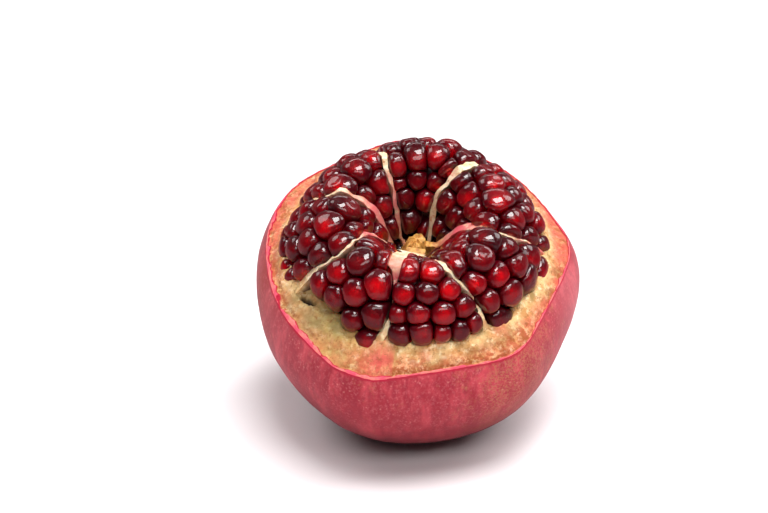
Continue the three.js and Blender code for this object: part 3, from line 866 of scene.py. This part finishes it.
def aril_spots(chamber, seed):
    """Radius, place across the chamber, sink and number of each aril, in rows."""
    spots = []
    count = seed * 100
    middle_reach = chamber_reach(chamber, 0.5)
    rows = int(round(walked(middle_reach) / chamber["pitch"]))
    for row in range(rows + 1):
        typical = walked_radius(middle_reach, row / rows)
        span = chamber_angle(chamber, typical, 1) - chamber_angle(chamber, typical, 0)
        number = max(int(span * typical / chamber["pitch"] + 0.5), 1)
        stagger = (ROW_STAGGER if row % 2 else -ROW_STAGGER) if number > 1 else 0
        for i in range(number):
            count += 1
            shifted = i + 0.5 + stagger + 0.1 * jitter(count)
            across = min(max(shifted, WALL_ARIL), number - WALL_ARIL) / number
            in_row = walked_radius(chamber_reach(chamber, across), row / rows)
            radius = in_row + UNEVENNESS * jitter(count + 0.3)
            spots.append((radius, across, ARIL_SINK + UNEVENNESS * jitter(count + 0.6), count))
    return spots


def on_top(chamber, radius, across, sink):
    """Places on the surface that lies a sink under the opened top."""
    angle = chamber_angle(chamber, radius, across)
    return at(radius, angle, top_height(radius, sink) - top_drop(radius, angle))


def settled(chamber, spots):
    """The arils moved apart until each has room of its own, and the size of that room."""
    radius, across, sink, count = (np.array(column) for column in zip(*spots))
    radius = radius + ROW_DISORDER * jitter(count + 0.35)
    pull = 1 + SIZE_SPREAD * jitter(count + 0.45)
    grid_across = (np.arange(ROOM_COLUMNS) + 0.5) / ROOM_COLUMNS
    shares = (np.arange(ROOM_ROWS) + 0.5) / ROOM_ROWS
    samples, weights = [], []
    for a in grid_across:
        reach = chamber_reach(chamber, a) - EDGE_ROOM
        high = np.interp(reach, WALK_RADII, WALKED[:-1])
        if reach > WALK_RADII[-1]:
            high = WALKED[-1] + reach - WALK_RADII[-1]
        length = (high + INNER_ROOM) * shares - INNER_ROOM
        r = np.interp(length, WALKED[:-1], WALK_RADII)
        r = np.where(length < 0, WALK_START + length * INNER_RUN, r)
        r = np.where(length > WALKED[-2], WALK_RADII[-1] + (length - WALKED[-2]) * OUTER_RUN, r)
        samples.append(np.stack([r, 0 * r + a], -1))
        span = chamber_angle(chamber, r, 1) - chamber_angle(chamber, r, 0)
        weights.append(span * r * (high + INNER_ROOM))
    samples, weights = np.concatenate(samples), np.concatenate(weights)
    ground = on_top(chamber, samples[:, 0], samples[:, 1], ARIL_SINK)
    for turn in range(SETTLING + 1):
        places = on_top(chamber, radius, across, ARIL_SINK)
        apart = np.linalg.norm(ground[:, None] - places[None], axis=-1) / pull
        nearest = np.argmin(apart, 1)
        room = np.zeros(len(radius))
        for i in range(len(radius)):
            own = nearest == i
            share = weights[own] / weights[own].sum()
            room[i] = weights[own].sum()
            if turn < SETTLING:
                radius[i] += SETTLE_SHARE * (np.sum(samples[own, 0] * share) - radius[i])
                across[i] += SETTLE_SHARE * (np.sum(samples[own, 1] * share) - across[i])
    room = np.sqrt(room / ROOM_ROWS / ROOM_COLUMNS / pi)
    sink = sink + WALL_SINK * np.abs(2 * across - 1) ** 4 - MIDDLE_RISE * (1 - (2 * across - 1) ** 2)
    return radius, across, sink, count, room


def wall_planes(chamber, spot, radius):
    """Direction and distance of the two membranes beside an aril."""
    planes = []
    for membrane, sign in ((chamber["from"], -1), (chamber["to"], 1)):
        here, next_one = (r * heading(float(membrane_angle(membrane, r))) for r in (radius, radius + 0.5))
        run = next_one - here
        run /= np.linalg.norm(run)
        toward = sign * np.array([-run[1], run[0], 0])
        distance = np.dot(here - spot[:2], toward[:2])
        planes.append((toward, distance - web_width(membrane, radius) / 2 - WALL_GAP))
    return planes


def grow_arils(chamber, seed):
    """The arils of a chamber: middle, own axes, free half sizes, and what presses on them."""
    arils = []
    for radius, across, sink, count, room in zip(*settled(chamber, aril_spots(chamber, seed))):
        angle = float(chamber_angle(chamber, radius, across))
        drop = float(top_drop(radius, angle))
        climb = top_height(radius + WALK_STEP, ARIL_SINK) - top_height(radius, ARIL_SINK)
        climb -= top_drop(radius + WALK_STEP, angle) - drop
        tilt = atan2(climb, WALK_STEP)
        out = np.append(heading(angle), 0)
        along = out * cos(tilt) + np.array([0, 0, sin(tilt)])
        sideways = np.array([-sin(angle), cos(angle), 0])
        sink = sink + INNER_SINK * smooth(14, 9, radius) * max(-sin(angle), 0)
        spot = out * radius + np.array([0, 0, float(top_height(radius, sink)) - drop])
        outward = np.cross(along, sideways)
        outward = outward + along * TIP_DISORDER[0] * jitter(count + 0.9)
        outward = outward + sideways * TIP_DISORDER[1] * jitter(count + 0.8)
        outward /= np.linalg.norm(outward)
        along = np.cross(sideways, outward)
        along /= np.linalg.norm(along)
        size = 1 + SIZE_DISORDER * jitter(count + 0.7)
        arils.append({
            "spot": spot, "axes": np.stack([along, np.cross(outward, along), outward]),
            "count": count, "radius": radius, "room": room,
            "wide": ARIL_SPREAD * room * size, "tall": ARIL_TALL * size,
            "planes": wall_planes(chamber, spot, radius), "level": out,
            # painted shade for arils deep in the pit behind the column
            "painted_shade": pit_depth(radius, angle) / PIT_DEPTH,
            "to_ledge": chamber_reach(chamber, across) - radius + LEDGE_OVERHANG,
        })
    for aril in arils:
        for other in arils:
            apart = other["spot"] - aril["spot"]
            distance = np.linalg.norm(apart)
            if 0 < distance < NEIGHBOUR:
                share = aril["room"] / (aril["room"] + other["room"])
                aril["planes"].append((apart / distance, distance * share - SEAM))
    return arils


def aril_reach(aril, directions):
    """Distance from an aril's middle to its skin, and the directions along its own axes."""
    local = directions @ aril["axes"].T
    half = np.stack([np.full(len(local), aril["wide"])] * 2
                    + [np.where(local[:, 2] > 0, aril["tall"], ARIL_DEEP)], -1)
    free = np.sum((local / half) ** 2, -1)
    slack = 1 / aril["to_ledge"] ** 2 - 1 / aril["wide"] ** 2
    free = free + np.maximum(directions @ aril["level"], 0) ** 2 * max(slack, 0)
    free = free ** (SQUEEZE / 2)
    crowd = free
    for normal, distance in aril["planes"]:
        crowd = crowd + (np.maximum(directions @ normal, 0) / max(distance, LEAST_ROOM)) ** SQUEEZE
    return crowd ** (-1 / SQUEEZE), local


def aril_piece(chamber, arils, materials):
    directions, triangles = ball(4)
    seed_directions, seed_triangles = ball(3)
    parts = []
    start = 0

    def add(points, faces, slot, tone, painted_rim_shade, painted_shade):
        nonlocal start
        tone, painted_rim_shade, painted_shade = (np.broadcast_to(look, len(points)) for look in (tone, painted_rim_shade, painted_shade))
        parts.append((points, faces + start, np.full(len(faces), slot), tone, painted_rim_shade, painted_shade))
        start += len(points)

    for aril in arils:
        spot, count, outward = aril["spot"], aril["count"], aril["axes"][2]
        reach, local = aril_reach(aril, directions)
        shape = spot + directions * reach[:, None]
        dent = DENT * bell(1 - local[:, 2], 0.06) * (local[:, 2] > 0) * (jitter(count + 0.15) > DENTED)
        shape = shape + directions * (layered(noise, shape, ARIL_LUMPS) - dent)[:, None]
        tone = 0.5 + 0.5 * jitter(count + 0.2)
        # painted glow in the middle of each aril, set below its tip, and painted shade towards its rims
        middle = outward + PAINTED_GLOW_FALL * DOWNWARD
        middle /= np.linalg.norm(middle)
        glow = smooth(0.5, 1, directions @ middle + 0.08 * noise(shape, 2, 17))
        add(shape, triangles, 0, tone, 1 - glow * (0.45 + 0.55 * tone), aril["painted_shade"])
        pip = SEED_SHARE * np.array([aril["room"], aril["room"], SEED_HEIGHT])
        pip = pip * (1 + SEED_DISORDER * jitter(count + 0.4))
        kernel = spot - outward * SEED_BACK + DOWNWARD * SEED_FALL
        add(kernel + (seed_directions * pip) @ aril["axes"], seed_triangles, 1, tone, 0, aril["painted_shade"])
    add(*bed(chamber), 2, 0, 0, 0)
    points, faces, face_slots, tone, painted_rim_shade, painted_shade = (np.concatenate(column) for column in zip(*parts))
    return piece(chamber["name"] + "_bunch", points, faces, materials, chamber["name"],
                 {"tone": tone, "painted_rim_shade": painted_rim_shade, "painted_shade": painted_shade}, face_slots)


def bed(chamber):
    """The dark bed under the arils, whose dark red is painted shade in the gaps between them: a wedge from
    below them to the bowl, as triangles.
    """
    row, column = np.indices(BED_GRID).reshape(2, -1)
    across = column / (BED_GRID[1] - 1)
    reach = chamber_reach(chamber, across) - 0.6
    radius = CHAMBER_INNER + (reach - CHAMBER_INNER) * row / (BED_GRID[0] - 1)
    angle = chamber_angle(chamber, radius, across, 0.1)
    top = top_height(radius, BED_SINK) - top_drop(radius, angle)
    bottom = -np.sqrt((BOWL_RADIUS - 0.8) ** 2 - radius ** 2)
    grid = np.arange(len(radius)).reshape(BED_GRID)
    under = grid.size
    faces = []

    def quad(a, b, c, d):
        faces.extend([(a, b, c), (a, c, d)])

    for a, b, c, d in zip(*(corners.ravel() for corners in (
            grid[:-1, :-1], grid[1:, :-1], grid[1:, 1:], grid[:-1, 1:]))):
        quad(a, b, c, d)
        quad(under + a, under + d, under + c, under + b)
    border = [*grid[0], *grid[1:, -1], *grid[-1, -2::-1], *grid[-2:0:-1, 0]]
    for a, b in zip(border, border[1:] + border[:1]):
        quad(a, b, under + b, under + a)
    return np.concatenate([at(radius, angle, top), at(radius, angle, bottom)]), np.array(faces)


# ---- Stage, lights and camera ----

CAMERA_ELEVATION = radians(25)
CAMERA_DISTANCE = 400
SENSOR_WIDTH = 36
FOCAL_PIXELS = 1364
IMAGE_SIZE = (768, 513)
FRUIT_PIXEL = (416.5, 282)  # where the middle of the fruit shows
EXPOSURE = -0.64
FLOOR_HALF = 3
FLOOR_COLOUR = (0.93, 0.89, 0.9, 1)
FLOOR_MIRRORED = (0.28, 0.2, 0.22, 1)
WHITE_FROM, WHITE_TO = 0.35, 1.1  # distances where the floor begins to fade, and is white
WHITE = 1.6
WORLD_COLOUR = (0.97, 0.95, 1, 1)
WORLD_GLOW = (0.08, 0.25)  # in front and at the rear,
WORLD_MIRRORED = (0.04, 0.13)  # for what mirrors it,
WORLD_SEEN = 1.7  # and to the camera
SOFTBOXES = {  # place and size in metres, and power in watts
    "above": ((0.14, -0.24, 1), (0.56, 0.4), 17.5),
    "right": ((0.64, 0.28, 0.65), (0.44, 0.48), 5),
    "left": ((-0.6, 0.24, 0.7), (0.4, 0.48), 3.4),
    "rear": ((0, 0.85, 0.7), (0.9, 0.15), 2.2),
    "front": ((0.12, -0.72, 0.8), (1.1, 0.3), 6.4),
}
LIT_SPOT = (0, 0, 0.06)


def camera():
    pan, pitch = (atan((pixel - side / 2) / FOCAL_PIXELS) for pixel, side in zip(FRUIT_PIXEL, IMAGE_SIZE))
    turned = Matrix.Rotation(pi / 2 - CAMERA_ELEVATION + pitch, 4, "X")
    place = Vector((0, -CAMERA_DISTANCE * cos(CAMERA_ELEVATION),
                    BODY_RADIUS - REST_DEPTH + CAMERA_DISTANCE * sin(CAMERA_ELEVATION)))
    data = bpy.data.cameras.new("camera")
    data.sensor_width = SENSOR_WIDTH
    data.lens = SENSOR_WIDTH * FOCAL_PIXELS / IMAGE_SIZE[0]
    data.clip_start = 0.01
    thing = linked("camera", data)
    thing.matrix_world = Matrix.Translation(place * MM) @ turned @ Matrix.Rotation(pan, 4, "Y")
    scene.camera = thing


def softbox(name, place, size, power):
    data = bpy.data.lights.new(name, "AREA")
    data.shape = "RECTANGLE"
    data.size, data.size_y = size
    data.energy = power
    thing = linked(name, data)
    thing.location = place
    aim = thing.location - Vector(LIT_SPOT)
    thing.rotation_euler = aim.to_track_quat("Z", "Y").to_euler()


def world_light():
    """White to look at; its light falls mostly from the rear and from above."""
    m = Nodes("world", bpy.data.worlds, "Background")
    rearwards = m.add("SeparateXYZ", {}, m.add("TexCoord", {})["Generated"])["Y"]
    glow, mirrored = (m.ramp(rearwards, -0.1, 0.6, *strengths, "LINEAR")
                      for strengths in (WORLD_GLOW, WORLD_MIRRORED))
    rays = m.add("LightPath", {})
    glow = m.ramp(rays["Is Glossy Ray"], 0, 1, glow, mirrored, "LINEAR")
    strength = m.ramp(rays["Is Camera Ray"], 0, 1, glow, WORLD_SEEN, "LINEAR")
    scene.world = m.finished(Color=WORLD_COLOUR, Strength=strength)


def stage():
    m = Nodes("floor")
    rays = m.add("LightPath", {})
    # It mirrors as a dark card would, so that it lays no grey veil on the wet arils.
    colour = m.mix(rays["Is Glossy Ray"], FLOOR_COLOUR, FLOOR_MIRRORED)
    # Its far parts, which the lights don't reach, are as white as the room behind them.
    away = m.add("VectorMath", {"operation": "LENGTH"}, m.add("NewGeometry", {})["Position"])
    white = m.ramp(away["Value"], WHITE_FROM, WHITE_TO, 0, WHITE)
    mesh = bpy.data.meshes.new("floor")
    corners = [(x * FLOOR_HALF, y * FLOOR_HALF, 0) for x, y in ((-1, -1), (1, -1), (1, 1), (-1, 1))]
    mesh.from_pydata(corners, [], [(0, 1, 2, 3)])
    mesh.materials.append(m.finished(
        Base_Color=colour, Roughness=0.7, Emission_Color=(1, 1, 1, 1),
        Emission_Strength=m.math("MULTIPLY", white, rays["Is Camera Ray"])))
    floor = linked("floor", mesh)
    world_light()
    for name, settings in SOFTBOXES.items():
        softbox("softbox_" + name, *settings)
    scene.view_settings.view_transform = "Standard"
    scene.view_settings.exposure = EXPOSURE


# ---- The fruit ----

camera()
stage()
rind = rind_material()
web = membrane_material()
bunches = [grow_arils(chamber, number + 1) for number, chamber in enumerate(CHAMBERS)]
rind_piece(rind, [aril for bunch in bunches for aril in bunch if aril["radius"] > SOCKET_ARILS])
for number, name in enumerate(MEMBRANES):
    membrane_piece(name, number, web)
core_piece(web)
stem_piece(rind)
bunch_materials = [aril_material(), seed_material(), shade_bed_material()]
for chamber, bunch in zip(CHAMBERS, bunches):
    aril_piece(chamber, bunch, bunch_materials)
